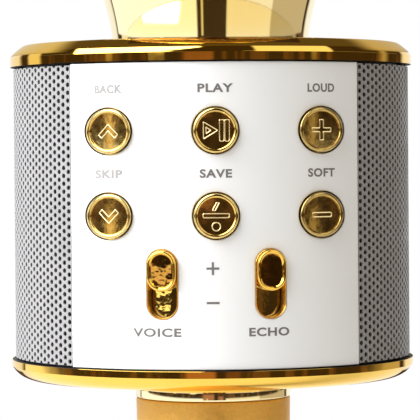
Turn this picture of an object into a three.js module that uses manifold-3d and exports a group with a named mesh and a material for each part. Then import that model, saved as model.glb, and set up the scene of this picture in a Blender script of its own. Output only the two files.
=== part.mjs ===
// A karaoke microphone with its own loudspeakers: a ball grille on a flared neck, a drum-shaped
// speaker body with a curved control panel, and a slim handle that holds the battery.
// Millimetres, +Z up along the axis, the control panel faces -Y, the origin is the centre of the base.
import * as THREE from "three";
import { mergeVertices } from "three/addons/utils/BufferGeometryUtils.js";
import Module from "manifold-3d";

const wasm = await Module();
wasm.setup();

// ---------------------------------------------------------------- driving dimensions
const ROUND = 40; // facets round an outer turned piece
const INNER_ROUND = 24; // facets round one inside the housings
const SMALL_ROUND = 16; // facets round a small one
const GAP = 0.3; // between two pieces that touch

// Handle
const BASE_RADIUS = 12.6;
const END_CAP_HEIGHT = 7;
const END_RING_HEIGHT = 2.5;
const HANDLE_BOTTOM = END_CAP_HEIGHT + END_RING_HEIGHT + 2 * GAP;
const HANDLE_TOP = 98;
const HANDLE_BOTTOM_RADIUS = 13.6;
const HANDLE_TOP_RADIUS = 15.4;
const HANDLE_WALL = 1.6;
const CELL_RADIUS = 9.2; // an 18650 lithium cell
const CELL_LENGTH = 65;

// Speaker body
const RING_RADIUS = 40;
const SHELL_RADIUS = 39.5;
const PANEL_WALL = 1.8;
const BODY_BOTTOM = 102.2;
const LOWER_RING_TOP = 106;
const PANEL_BOTTOM = LOWER_RING_TOP + GAP;
const PANEL_TOP = 163.6;
const UPPER_RING_BOTTOM = PANEL_TOP + GAP;
const BODY_TOP = 168.2;
const RING_FLOOR = 2; // thickness of each ring's flat
const LIP_INNER = 36; // locating lip inside the panels
const LIP_OUTER = 37.2;
const LIP_HEIGHT = 2;
const FRONT_HALF_ANGLE = THREE.MathUtils.degToRad(43.4);
const BACK_HALF_ANGLE = THREE.MathUtils.degToRad(20);
const GRILLE_SEAM = THREE.MathUtils.degToRad(0.5);
const GRILLE_RADIUS = 39.3;
const GRILLE_SHEET = 0.8;
const CLOTH_RADIUS = 38.2;
const CLOTH_THICKNESS = 0.4;

// Controls on the front panel
const BUTTON_RADIUS = 4.2;
const BUTTON_HOLE_RADIUS = 4.5;
const BUTTON_FLANGE_RADIUS = 5.2;
const BUTTON_PROUD = 0.9;
const BUTTON_COLUMN = 20; // the outer columns' distance from the middle
const BUTTON_ROWS = [150.8, 134.9];
const STEM_RADIUS = 1.6;
const STEM_END = -25.9;
const SWITCH_SIZE = 6; // six tact switches on the control board
const SWITCH_TOP = -24.6;
const PLUNGER_TOP = -25;
const SLOT_WIDTH = 5.9;
const SLOT_LENGTH = 13.2;
const SLOT_COLUMN = 10.1;
const SLOT_CENTRE = 122.2;
const BEZEL_GAP = 0.05;
const BEZEL_WALL = 0.2;
const KNOB_WIDTH = 5.2;
const KNOB_LENGTH = 7.6;
const KNOB_PROUD = 1.2;
const KNOB_CENTRE = 124.7; // both knobs rest at the plus end
const KNOB_TRAVEL = 5;
const SHUTTER_WIDTH = 8.5; // the knob's plate, which keeps the slot closed
const SHUTTER_LENGTH = 19.4;
const SHUTTER_OUTER = 37.3;
const SHUTTER_INNER = 36.2;

// Boards and frame inside the body
const BOARD_THICKNESS = 1.6;
const FRONT_BOARD_FACE = -22;
const FRONT_BOARD_HALF_WIDTH = 23;
const FRONT_BOARD_BOTTOM = 111;
const FRONT_BOARD_TOP = 157;
const FRAME_BOTTOM = 108.4;
const FRAME_TOP = 161.4;
const FRAME_PLATE = 2;
const FRAME_RADIUS = 36.6;
const FRAME_HOLE = 12;
const NOTCH_HALF_WIDTH = 5;
const BAFFLE_INNER = 28;
const BAFFLE_OUTER = 30;
const BAFFLE_HALF_WIDTH = 19.5;
const POST = { x: 26, y: 22.5, radius: 1.8 };
const RAIL_HEIGHTS = [115, 142.8];
const RAIL_INNER = 17;
const RAIL_DEPTH = 2.5;
const RAIL_HALF_HEIGHT = 2.5;
const SCREW_COLUMN = 20;
const DRIVER_HEIGHT = 135;
const DRIVER_FACE = 31.5;

// Rear service strip: everything stands in one column on an upright board
const REAR_BOARD_X = -4.2;
const SERVICE = { power: 153, light: 145.5, charge: 138.5, card: 126.5, aux: 114.5 };
const POWER_TRAVEL = 2.4;

// Neck and head
const NECK_BOTTOM = BODY_TOP + GAP;
const NECK_TOP = 190;
const NECK_HEIGHT = NECK_TOP - NECK_BOTTOM;
const NECK_FOOT_RADIUS = 19.5;
const NECK_RIM_RADIUS = 26;
const THREAD_RADIUS = 20.6;
const THREAD_BOTTOM = 184;
const COLLAR_TOP = 195.8;
const BAND_BOTTOM = 211.9;
const BAND_TOP = 217.1;
const BALL_RADIUS = 28.3;
const HEAD_TOP = 246;
const MESH_WALL = 0.8;

// ---------------------------------------------------------------- materials
const finish = (color, roughness, metalness) =>
  new THREE.MeshStandardMaterial({ color, roughness, metalness });
const GOLD = finish(0xd9a441, 0.08, 1);
const SATIN_GOLD = finish(0xc08a38, 0.45, 0.9);
const MESH_GOLD = finish(0xc9983f, 0.3, 1);
const WHITE = finish(0xf2f1ef, 0.3, 0);
const SILVER = finish(0xc9c9c9, 0.35, 0.8);
const BLACK = finish(0x151515, 0.6, 0);
const FOAM = finish(0x2b2b2b, 0.95, 0);
const BOARD_GREEN = finish(0x1f5a38, 0.5, 0);
const STEEL = finish(0xb8babd, 0.3, 1);
const PAPER = finish(0x24221f, 0.85, 0);
const MAGNET = finish(0x3c3c40, 0.5, 0.6);
const CELL_WRAP = finish(0x2f6fb0, 0.4, 0);
const LENS = finish(0xe8efe8, 0.1, 0);
const RED_WIRE = finish(0xa02020, 0.5, 0);

// ---------------------------------------------------------------- geometry helpers
const microphone = new THREE.Group();

function part(name, geometry, material, parent = microphone) {
  const mesh = new THREE.Mesh(geometry, material);
  mesh.name = name;
  parent.add(mesh);
  return mesh;
}

function solid(geometry) {
  const bare = geometry.clone();
  bare.deleteAttribute("normal");
  bare.deleteAttribute("uv");
  const merged = mergeVertices(bare);
  const triVerts = new Uint32Array(merged.index.array);
  const vertProperties = merged.attributes.position.array;
  return new wasm.Manifold(new wasm.Mesh({ numProp: 3, vertProperties, triVerts }));
}

function surface(manifold) {
  const mesh = manifold.getMesh();
  const position = new THREE.BufferAttribute(new Float32Array(mesh.vertProperties), 3);
  const index = new THREE.BufferAttribute(new Uint32Array(mesh.triVerts), 1);
  return new THREE.BufferGeometry().setAttribute("position", position).setIndex(index);
}

const join = (...geometries) => surface(geometries.map(solid).reduce((a, b) => a.add(b)));
const cut = (body, ...tools) => surface(tools.map(solid).reduce((a, b) => a.subtract(b), solid(body)));
const common = (a, b) => surface(solid(a).intersect(solid(b)));

// Turns an outline of [radius, height] points round the Z axis. The outline starts and ends on the axis,
// or is a closed ring.
function lathe(outline, segments = ROUND) {
  const twiceArea = outline.reduce((sum, [r, z], i) => {
    const [nextR, nextZ] = outline[(i + 1) % outline.length];
    return sum + r * nextZ - nextR * z;
  }, 0);
  const ordered = twiceArea > 0 ? outline : [...outline].reverse();
  const closed = ordered[0][0] === 0 ? ordered : [...ordered, ordered[0]];
  const points = closed.map(([r, z]) => new THREE.Vector2(r, z));
  return new THREE.LatheGeometry(points, segments).rotateX(Math.PI / 2);
}

const rod = (radius, bottom, top, segments = SMALL_ROUND) =>
  new THREE.CylinderGeometry(radius, radius, top - bottom, segments)
    .rotateX(Math.PI / 2)
    .translate(0, 0, (bottom + top) / 2);

// A cylinder along Y from one depth to another.
const plug = (radius, x, z, from, to, segments = SMALL_ROUND) =>
  new THREE.CylinderGeometry(radius, radius, to - from, segments).translate(x, (from + to) / 2, z);

const block = ([x0, x1], [y0, y1], [z0, z1]) =>
  new THREE.BoxGeometry(x1 - x0, y1 - y0, z1 - z0).translate((x0 + x1) / 2, (y0 + y1) / 2, (z0 + z1) / 2);

// A slot shape with round ends, upright, running along Y from one depth to another.
function pill(width, length, x, z, from, to) {
  const r = width / 2;
  const straight = length / 2 - r;
  const shape = new THREE.Shape();
  shape.absarc(0, straight, r, 0, Math.PI, false);
  shape.absarc(0, -straight, r, Math.PI, 2 * Math.PI, false);
  return new THREE.ExtrudeGeometry(shape, { depth: to - from, bevelEnabled: false, curveSegments: 8 })
    .rotateX(Math.PI / 2)
    .translate(x, to, z);
}

// Part of a tube's wall, centred on an angle measured from +X.
function arcShell(inner, outer, middle, halfAngle, bottom, top, segments) {
  const shape = new THREE.Shape();
  shape.absarc(0, 0, outer, middle - halfAngle, middle + halfAngle, false);
  shape.absarc(0, 0, inner, middle + halfAngle, middle - halfAngle, true);
  const options = { depth: top - bottom, bevelEnabled: false, curveSegments: segments };
  return new THREE.ExtrudeGeometry(shape, options).translate(0, 0, bottom);
}

// Points on a quarter of an ellipse, from its widest radius to its pole or the other way round.
function quarterEllipse(radius, height, base, steps, rising = true) {
  const points = Array.from({ length: steps + 1 }, (_, i) => {
    const a = (i / steps) * (Math.PI / 2);
    return [i === steps ? 0 : radius * Math.cos(a), base + height * Math.sin(a)];
  });
  return rising ? points : points.reverse();
}

// ---------------------------------------------------------------- handle
function buildHandle() {
  const capRadius = HANDLE_BOTTOM_RADIUS - 0.1;
  const bore = HANDLE_BOTTOM_RADIUS - HANDLE_WALL;
  const spigot = bore - GAP;
  const spigotTop = HANDLE_BOTTOM + 2.4;
  part("end_cap", lathe([
    [0, 0], [BASE_RADIUS, 0], [capRadius - 0.2, 0.9], [capRadius, END_CAP_HEIGHT],
    [spigot, END_CAP_HEIGHT], [spigot, spigotTop], [0, spigotTop],
  ]), GOLD);

  const ringBottom = END_CAP_HEIGHT + GAP;
  const ringTop = ringBottom + END_RING_HEIGHT;
  part("end_ring", lathe([
    [bore, ringBottom], [capRadius + 0.4, ringBottom], [capRadius + 0.6, (ringBottom + ringTop) / 2],
    [capRadius + 0.4, ringTop], [bore, ringTop],
  ]), GOLD);

  part("handle_tube", lathe([
    [bore, HANDLE_BOTTOM], [HANDLE_BOTTOM_RADIUS, HANDLE_BOTTOM],
    [HANDLE_TOP_RADIUS, HANDLE_TOP], [HANDLE_TOP_RADIUS - HANDLE_WALL, HANDLE_TOP],
  ]), SATIN_GOLD);

  // The socket hangs the handle from the lower ring: its flange lies on the ring's floor.
  const leadBore = 9;
  const socketFoot = HANDLE_TOP - 6;
  const socketSpigot = HANDLE_TOP_RADIUS - HANDLE_WALL - 0.5;
  const flangeBottom = BODY_BOTTOM + RING_FLOOR + GAP;
  part("handle_socket", lathe([
    [leadBore, socketFoot], [socketSpigot, socketFoot], [socketSpigot, HANDLE_TOP + GAP],
    [HANDLE_TOP_RADIUS, HANDLE_TOP + GAP], [HANDLE_TOP_RADIUS, flangeBottom],
    [HANDLE_TOP_RADIUS + 3.6, flangeBottom], [HANDLE_TOP_RADIUS + 3.6, flangeBottom + 1.7],
    [leadBore, flangeBottom + 1.7],
  ], INNER_ROUND), GOLD);

  const cellBottom = spigotTop + 1;
  const cellTop = cellBottom + CELL_LENGTH;
  part("battery_cell", lathe([
    [0, cellBottom], [CELL_RADIUS, cellBottom], [CELL_RADIUS, cellTop], [3.2, cellTop],
    [3.2, cellTop + 1.4], [0, cellTop + 1.4],
  ], INNER_ROUND), CELL_WRAP);
  part("battery_sleeve", lathe([
    [CELL_RADIUS + GAP, cellBottom + 3], [spigot - 0.1, cellBottom + 3],
    [spigot - 0.1, cellTop - 4], [CELL_RADIUS + GAP, cellTop - 4],
  ], INNER_ROUND), FOAM);
}

// ---------------------------------------------------------------- speaker body shells
function buildShells() {
  const socketHole = HANDLE_TOP_RADIUS + 0.5;
  const lowerFloor = BODY_BOTTOM + RING_FLOOR;
  const lowerRound = 3.4; // the lower ring's rounded edge, in from the band
  const lowerBand = BODY_BOTTOM + 2.3;
  const roundSteps = 5;
  const lowerEdge = Array.from({ length: roundSteps + 1 }, (_, i) => {
    const a = (i / roundSteps) * (Math.PI / 2);
    const drop = (lowerBand - BODY_BOTTOM) * Math.cos(a);
    return [RING_RADIUS - lowerRound * (1 - Math.sin(a)), lowerBand - drop];
  });
  part("lower_ring", lathe([
    [socketHole, BODY_BOTTOM], ...lowerEdge, [RING_RADIUS, LOWER_RING_TOP], [LIP_OUTER, LOWER_RING_TOP],
    [LIP_OUTER, LOWER_RING_TOP + LIP_HEIGHT], [LIP_INNER, LOWER_RING_TOP + LIP_HEIGHT],
    [LIP_INNER, lowerFloor], [socketHole, lowerFloor],
  ]), GOLD);

  const upperFloor = BODY_TOP - RING_FLOOR;
  const leadHole = 8;
  part("upper_ring", lathe([
    [leadHole, upperFloor], [LIP_INNER, upperFloor], [LIP_INNER, UPPER_RING_BOTTOM - LIP_HEIGHT],
    [LIP_OUTER, UPPER_RING_BOTTOM - LIP_HEIGHT], [LIP_OUTER, UPPER_RING_BOTTOM],
    [RING_RADIUS, UPPER_RING_BOTTOM], [RING_RADIUS, BODY_TOP - 2.6], [RING_RADIUS - 0.8, BODY_TOP - 1.75],
    [RING_RADIUS - 3.9, BODY_TOP], [leadHole, BODY_TOP],
  ]), GOLD);

  // The perforated sheets fill the sides between the two panels. Their holes are too fine to cut here.
  const front = -Math.PI / 2;
  const sideHalfAngle = (Math.PI - FRONT_HALF_ANGLE - BACK_HALF_ANGLE) / 2 - GRILLE_SEAM;
  const sideMiddle = (front + FRONT_HALF_ANGLE + Math.PI / 2 - BACK_HALF_ANGLE) / 2;
  const sides = { right: sideMiddle, left: Math.PI - sideMiddle };
  for (const [side, middle] of Object.entries(sides)) {
    part(`side_grille_${side}`, arcShell(GRILLE_RADIUS - GRILLE_SHEET, GRILLE_RADIUS, middle, sideHalfAngle,
      PANEL_BOTTOM + 0.2, PANEL_TOP - 0.2, 18), SILVER);
    part(`grille_cloth_${side}`, arcShell(CLOTH_RADIUS - CLOTH_THICKNESS, CLOTH_RADIUS, middle, sideHalfAngle,
      PANEL_BOTTOM + 0.5, PANEL_TOP - 0.5, 18), BLACK);
  }
}

// ---------------------------------------------------------------- front panel and its controls
const BUTTONS = [
  ["previous", -BUTTON_COLUMN, 0], ["play", 0, 0], ["volume_up", BUTTON_COLUMN, 0],
  ["next", -BUTTON_COLUMN, 1], ["record", 0, 1], ["volume_down", BUTTON_COLUMN, 1],
].map(([name, x, row]) => ({ name, x, z: BUTTON_ROWS[row] }));
const SLIDERS = [["mic_volume", -SLOT_COLUMN], ["echo", SLOT_COLUMN]].map(([name, x]) => ({ name, x }));

function buildFrontPanel() {
  const sheet = arcShell(SHELL_RADIUS - PANEL_WALL, SHELL_RADIUS, -Math.PI / 2, FRONT_HALF_ANGLE,
    PANEL_BOTTOM, PANEL_TOP, 20);
  const holes = BUTTONS.map(({ x, z }) => plug(BUTTON_HOLE_RADIUS, x, z, -45, -15, 20));
  const slots = SLIDERS.map(({ x }) => pill(SLOT_WIDTH, SLOT_LENGTH, x, SLOT_CENTRE, -45, -15));
  part("front_panel", cut(sheet, ...holes, ...slots), WHITE);
}

// A button is one moulding: a cap through the panel, a flange behind it, and a stem to its switch.
// Cap and flange both follow the panel's curve.
function buildButton({ name, x, z }) {
  const reach = Math.abs(x) + BUTTON_FLANGE_RADIUS;
  const flangeBack = -(Math.sqrt(SHUTTER_OUTER ** 2 - reach ** 2) - 0.8);
  const capCurve = rod(SHELL_RADIUS + BUTTON_PROUD, z - 10, z + 10, 96);
  const flangeCurve = rod(SHUTTER_OUTER, z - 10, z + 10, 96);
  const cap = common(plug(BUTTON_RADIUS, x, z, -45, flangeBack, 20), capCurve);
  const flange = common(plug(BUTTON_FLANGE_RADIUS, x, z, -45, flangeBack, 20), flangeCurve);
  const stem = plug(STEM_RADIUS, x, z, flangeBack - 0.2, STEM_END, 12);
  part(`button_${name}`, join(cap, flange, stem), GOLD);
}

// The bezel lines the slot. The knob, its shutter plate and its tang are one moulding that slides
// up and down.
function buildSlider({ name, x }) {
  const bezelOuter = [SLOT_WIDTH - 2 * BEZEL_GAP, SLOT_LENGTH - 2 * BEZEL_GAP];
  const bezelInner = bezelOuter.map((size) => size - 2 * BEZEL_WALL);
  const wall = arcShell(SHELL_RADIUS - PANEL_WALL + 0.1, SHELL_RADIUS + 0.15, -Math.PI / 2, FRONT_HALF_ANGLE,
    PANEL_BOTTOM, PANEL_TOP, 40);
  const bezelBody = common(pill(...bezelOuter, x, SLOT_CENTRE, -45, -30), wall);
  part(`slider_bezel_${name}`, cut(bezelBody, pill(...bezelInner, x, SLOT_CENTRE, -45, -30)), GOLD);

  const knob = common(
    pill(KNOB_WIDTH, KNOB_LENGTH, x, KNOB_CENTRE, -45, -35),
    rod(SHELL_RADIUS + KNOB_PROUD, 100, 150, 96),
  );
  const shutterBlock = block([x - SHUTTER_WIDTH / 2, x + SHUTTER_WIDTH / 2], [-45, -30],
    [KNOB_CENTRE - SHUTTER_LENGTH / 2, KNOB_CENTRE + SHUTTER_LENGTH / 2]);
  const shutter = common(shutterBlock,
    arcShell(SHUTTER_INNER, SHUTTER_OUTER, -Math.PI / 2, FRONT_HALF_ANGLE, 100, 150, 40));
  const tang = block([x - 0.6, x + 0.6], [-35.6, -27.9], [KNOB_CENTRE - 2, KNOB_CENTRE + 2]);
  part(`slider_knob_${name}`, join(knob, shutter, tang), GOLD);

  const travelMiddle = KNOB_CENTRE - KNOB_TRAVEL / 2;
  part(`slide_pot_${name}`, block([x - 4, x + 4], [-27.3, FRONT_BOARD_FACE - 0.2],
    [travelMiddle - 10, travelMiddle + 10]), STEEL);
}

// The control board carries its six tact switches, which are soldered to it.
function buildControlBoard() {
  const plate = block([-FRONT_BOARD_HALF_WIDTH, FRONT_BOARD_HALF_WIDTH],
    [FRONT_BOARD_FACE, FRONT_BOARD_FACE + BOARD_THICKNESS], [FRONT_BOARD_BOTTOM, FRONT_BOARD_TOP]);
  const half = SWITCH_SIZE / 2;
  const switches = BUTTONS.flatMap(({ x, z }) => [
    block([x - half, x + half], [SWITCH_TOP, FRONT_BOARD_FACE + 0.2], [z - half, z + half]),
    plug(STEM_RADIUS, x, z, PLUNGER_TOP, SWITCH_TOP + 0.2, 12),
  ]);
  const holes = screwPlaces().map(({ x, z }) => plug(1.1, x, z, -30, -10, 12));
  part("control_board", cut(join(plate, ...switches), ...holes), BOARD_GREEN);
}

const screwPlaces = () => RAIL_HEIGHTS.flatMap((z) => [-SCREW_COLUMN, SCREW_COLUMN].map((x) => ({ x, z })));

function buildBoardScrews() {
  screwPlaces().forEach(({ x, z }, i) => {
    const headBack = FRONT_BOARD_FACE - 0.1;
    const head = plug(1.9, x, z, headBack - 1.2, headBack, 16);
    const shank = plug(0.8, x, z, headBack - 0.2, FRONT_BOARD_FACE + BOARD_THICKNESS + 2.4, 12);
    part(`board_screw_${i + 1}`, join(head, shank), STEEL);
  });
}

// ---------------------------------------------------------------- frame inside the body
function buildFrame() {
  const plates = [FRAME_BOTTOM, FRAME_TOP - FRAME_PLATE].map((z) => lathe([
    [FRAME_HOLE, z], [FRAME_RADIUS, z], [FRAME_RADIUS, z + FRAME_PLATE], [FRAME_HOLE, z + FRAME_PLATE],
  ]));
  const baffles = [-1, 1].map((side) => {
    const xs = [side * BAFFLE_INNER, side * BAFFLE_OUTER].sort((a, b) => a - b);
    const wall = block(xs, [-BAFFLE_HALF_WIDTH, BAFFLE_HALF_WIDTH], [FRAME_BOTTOM + 1, FRAME_TOP - 1]);
    const hole = new THREE.CylinderGeometry(16.6, 16.6, 10, 32).rotateZ(Math.PI / 2)
      .translate(side * BAFFLE_INNER, 0, DRIVER_HEIGHT);
    return cut(wall, hole);
  });
  const posts = [-1, 1].flatMap((sx) => [-1, 1].map((sy) =>
    rod(POST.radius, FRAME_BOTTOM + 1, FRAME_TOP - 1, 12).translate(sx * POST.x, sy * POST.y, 0)));
  const railFront = FRONT_BOARD_FACE + BOARD_THICKNESS + 0.2;
  const rails = RAIL_HEIGHTS.flatMap((z) => [-1, 1].map((side) => {
    const xs = [side * RAIL_INNER, side * (BAFFLE_INNER + 1)].sort((a, b) => a - b);
    return block(xs, [railFront, railFront + RAIL_DEPTH], [z - RAIL_HALF_HEIGHT, z + RAIL_HALF_HEIGHT]);
  }));
  const pilots = screwPlaces().map(({ x, z }) => plug(1.1, x, z, -30, railFront + RAIL_DEPTH + 1, 12));
  const notches = SLIDERS.map(({ x }) => block([x - NOTCH_HALF_WIDTH, x + NOTCH_HALF_WIDTH], [-45, -32.8],
    [FRAME_BOTTOM - 1, FRAME_BOTTOM + FRAME_PLATE + 1])); // let the sliders' shutters pass
  part("inner_frame", cut(join(...plates, ...baffles, ...posts, ...rails), ...pilots, ...notches), BLACK);
}

// ---------------------------------------------------------------- loudspeakers, facing out on each side
function buildDriver(side, turn) {
  const driver = new THREE.Group();
  driver.position.set(turn * DRIVER_FACE, 0, DRIVER_HEIGHT);
  driver.rotation.y = turn * Math.PI / 2;
  microphone.add(driver);

  part(`driver_basket_${side}`, lathe([
    [15.7, -1.2], [15.7, 0], [18, 0], [18, -1.2], [16.2, -1.2], [15, -4.5], [11.6, -9], [11.6, -9.8],
    [8.6, -9.8], [8.6, -9], [10.6, -9], [13.9, -4.5], [15, -1.2],
  ], INNER_ROUND), STEEL, driver);
  part(`driver_magnet_${side}`, lathe([
    [0, -17.2], [10.5, -17.2], [10.5, -10.1], [7.8, -10.1], [7.8, -15], [6.1, -15], [6.1, -10.1], [0, -10.1],
  ], INNER_ROUND), MAGNET, driver);
  part(`driver_cone_${side}`, lathe([
    [0, -3.6], [4, -4.4], [6.9, -6.2], [13, -2.2], [13.8, -0.8], [14.4, -1.6], [13.2, -3], [7.3, -7.2],
    [7.3, -12.5], [6.8, -12.5], [6.8, -7], [4, -5.2], [0, -4.4],
  ], INNER_ROUND), PAPER, driver);
}

// ---------------------------------------------------------------- rear service strip
function buildRearStrip() {
  const strip = arcShell(SHELL_RADIUS - PANEL_WALL, SHELL_RADIUS, Math.PI / 2, BACK_HALF_ANGLE,
    PANEL_BOTTOM, PANEL_TOP, 10);
  part("back_panel", cut(strip,
    pill(2.8, 7.2, 0, SERVICE.power, 30, 45),
    plug(1.2, 0, SERVICE.light, 30, 45, 16),
    block([-1.8, 1.8], [30, 45], [SERVICE.charge - 4.2, SERVICE.charge + 4.2]),
    block([-1.1, 1.1], [30, 45], [SERVICE.card - 6.2, SERVICE.card + 6.2]),
    plug(3.3, 0, SERVICE.aux, 30, 45, 24),
  ), WHITE);

  const boardRight = REAR_BOARD_X + BOARD_THICKNESS / 2;
  const boardSides = [boardRight - BOARD_THICKNESS, boardRight];
  part("rear_board", block(boardSides, [17, 35.5], [111.5, 158.5]), BOARD_GREEN);

  const deck = boardRight + 0.1; // the sockets lie on the board's face
  const chargeShell = block([deck, 1.45], [31.5, 37.3], [SERVICE.charge - 3.8, SERVICE.charge + 3.8]);
  const chargeMouth = block([-1.1, 1.1], [33, 40], [SERVICE.charge - 3.4, SERVICE.charge + 3.4]);
  part("charge_socket", cut(chargeShell, chargeMouth), STEEL);

  const cardShell = block([deck, 1], [22, 37.3], [SERVICE.card - 7, SERVICE.card + 7]);
  const cardMouth = block([-0.6, 0.6], [23.5, 40], [SERVICE.card - 5.7, SERVICE.card + 5.7]);
  part("card_socket", cut(cardShell, cardMouth), STEEL);

  const auxBlock = block([deck, 3.2], [24, 36.6], [SERVICE.aux - 3.1, SERVICE.aux + 3.1]);
  const auxNose = plug(2.95, 0, SERVICE.aux, 36.4, 39.3, 24);
  part("audio_jack", cut(join(auxBlock, auxNose), plug(1.8, 0, SERVICE.aux, 25.5, 41, 20)), BLACK);

  part("power_switch", block([deck, 2.2], [31, 36.3], [SERVICE.power - 4.5, SERVICE.power + 4.5]), STEEL);
  const knobZ = SERVICE.power - POWER_TRAVEL / 2;
  part("power_knob", join(
    block([-1.1, 1.1], [37.2, 39.9], [knobZ - 1.6, knobZ + 1.6]),
    block([-1.9, 1.9], [36.5, 37.3], [knobZ - 4.6, knobZ + 4.6]),
  ), BLACK);

  part("status_lens", join(
    plug(0.95, 0, SERVICE.light, 32, 39.3, 16),
    plug(1.6, 0, SERVICE.light, 32, 36.9, 16),
  ), LENS);
}

// ---------------------------------------------------------------- neck and microphone head
function buildNeck() {
  const flareSteps = 8;
  const flare = Array.from({ length: flareSteps + 1 }, (_, i) => {
    const t = i / flareSteps;
    const spread = (NECK_RIM_RADIUS - NECK_FOOT_RADIUS) * t ** 1.5;
    return [NECK_FOOT_RADIUS + spread, NECK_BOTTOM + t * NECK_HEIGHT];
  });
  const bore = THREAD_RADIUS + 0.4;
  const wireHole = 7;
  part("neck", lathe([
    [wireHole, NECK_BOTTOM], ...flare, [bore, NECK_TOP], [bore, 183.2], [19, 180], [17.6, 173],
    [17.6, NECK_BOTTOM + 2.2], [wireHole, NECK_BOTTOM + 2.2],
  ]), GOLD);

  const postFoot = NECK_BOTTOM + 2.5;
  const postTop = 203;
  part("capsule_post", lathe([
    [5, postFoot], [15, postFoot], [15, postFoot + 1.6], [8, postFoot + 2.5], [8, postTop], [5, postTop],
  ], INNER_ROUND), BLACK);
  const cupFloor = postTop + GAP;
  part("capsule_cradle", lathe([
    [4, cupFloor], [9.6, cupFloor], [9.6, cupFloor + 9.7], [8, cupFloor + 9.7], [8, cupFloor + 2],
    [4, cupFloor + 2],
  ], INNER_ROUND), FOAM);
  const capsuleFoot = cupFloor + 2.3;
  part("microphone_capsule", lathe([
    [0, capsuleFoot], [7.6, capsuleFoot], [7.6, capsuleFoot + 8.4], [7, capsuleFoot + 9],
    [0, capsuleFoot + 9],
  ], INNER_ROUND), STEEL);
}

function buildHead() {
  part("head_collar", lathe([
    [18.8, THREAD_BOTTOM], [THREAD_RADIUS, THREAD_BOTTOM], [THREAD_RADIUS, NECK_TOP + GAP],
    [26.4, NECK_TOP + GAP], [27.2, 191.5], [27.2, 194.5], [26.4, COLLAR_TOP], [24.4, COLLAR_TOP],
    [24.4, 192.5], [18.8, 192.5],
  ]), GOLD);

  const meshFoot = COLLAR_TOP + GAP;
  const lowerTop = BAND_BOTTOM - GAP;
  const lowerOutline = [[25.9, meshFoot], [27, 200], [27.9, 205.5], [BALL_RADIUS, lowerTop]];
  const lowerInside = lowerOutline.map(([r, z]) => [r - MESH_WALL, z]).reverse();
  part("grille_lower", lathe([...lowerOutline, ...lowerInside]), MESH_GOLD);

  part("grille_band", lathe([
    [27.2, BAND_BOTTOM], [28.8, BAND_BOTTOM], [29.3, BAND_BOTTOM + 1.1], [29.3, BAND_TOP - 1.1],
    [28.8, BAND_TOP], [27.2, BAND_TOP],
  ]), GOLD);

  const domeFoot = BAND_TOP + GAP;
  const domeHeight = HEAD_TOP - domeFoot;
  part("grille_dome", lathe([
    ...quarterEllipse(BALL_RADIUS - MESH_WALL, domeHeight - MESH_WALL, domeFoot, 8, false),
    ...quarterEllipse(BALL_RADIUS, domeHeight, domeFoot, 8),
  ]), MESH_GOLD);

  // The foam lines the whole ball and is open below, round the capsule's post.
  const foamFoot = 193;
  const foamWall = 2.6;
  const foamRadius = 26.4;
  const foamRise = 26.6;
  const foamOutline = [
    [23.7, foamFoot], [25.4, 204], [foamRadius, 212], ...quarterEllipse(foamRadius, foamRise, domeFoot, 6),
  ];
  const foamInside = [
    ...quarterEllipse(foamRadius - foamWall, foamRise - foamWall, domeFoot, 6, false),
    [foamRadius - foamWall, 212], [23.7 - foamWall, foamFoot],
  ];
  part("foam_windscreen", lathe([...foamInside, ...foamOutline], INNER_ROUND), FOAM);
}

// ---------------------------------------------------------------- leads held inside the housings
function lead(name, radius, points, material) {
  const path = new THREE.CatmullRomCurve3(points.map((p) => new THREE.Vector3(...p)));
  const section = new THREE.Shape().absarc(0, 0, radius, 0, 2 * Math.PI, false);
  const options = { steps: 10, curveSegments: 3, bevelEnabled: false, extrudePath: path };
  part(name, new THREE.ExtrudeGeometry(section, options), material);
}

function buildLeads() {
  lead("battery_lead", 1.2, [
    [0, 0, 80.6], [0, 0, 92], [0, 2, 104], [0, 9, 112], [-1, 14, 118], [-1.6, 20, 120],
  ], RED_WIRE);
  lead("microphone_lead", 1.1, [
    [-1.6, 24, 150], [-1.4, 14, 154], [0, 4, 160], [0, 0, 170], [0, 0, 188], [0, 0, 205],
  ], BLACK);
  lead("speaker_lead_right", 0.7, [[-2, 18, 131], [6, 14, 131], [14, 14.5, 132], [23, 15.2, 133]], RED_WIRE);
  lead("speaker_lead_left", 0.7, [[-6, 20, 131], [-10, 15, 131], [-16, 14.5, 132], [-23, 15.2, 133]], BLACK);

  // A flat ribbon joins the two boards, between the loudspeakers' magnets.
  const ribbonHalf = 0.3;
  const spine = new THREE.CatmullRomCurve3([
    new THREE.Vector3(0, -20.1, 0), new THREE.Vector3(2, -14, 0), new THREE.Vector3(-2, 0, 0),
    new THREE.Vector3(-4.2, 10, 0), new THREE.Vector3(-4.2, 16.7, 0),
  ]).getPoints(12);
  const edge = (shift) => spine.map(({ x, y }) => new THREE.Vector2(x + shift, y));
  const outline = new THREE.Shape([...edge(ribbonHalf), ...edge(-ribbonHalf).reverse()]);
  part("board_ribbon", new THREE.ExtrudeGeometry(outline, { depth: 14, bevelEnabled: false })
    .translate(0, 0, 140), WHITE);
}

buildHandle();
buildShells();
buildFrontPanel();
BUTTONS.forEach(buildButton);
SLIDERS.forEach(buildSlider);
buildControlBoard();
buildBoardScrews();
buildFrame();
buildDriver("right", 1);
buildDriver("left", -1);
buildRearStrip();
buildNeck();
buildHead();
buildLeads();

export default microphone;
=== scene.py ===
import math

import bmesh
import bpy
import numpy as np
from mathutils import Matrix, Vector
from mathutils.geometry import delaunay_2d_cdt
from mathutils.noise import noise as lumps


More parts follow.
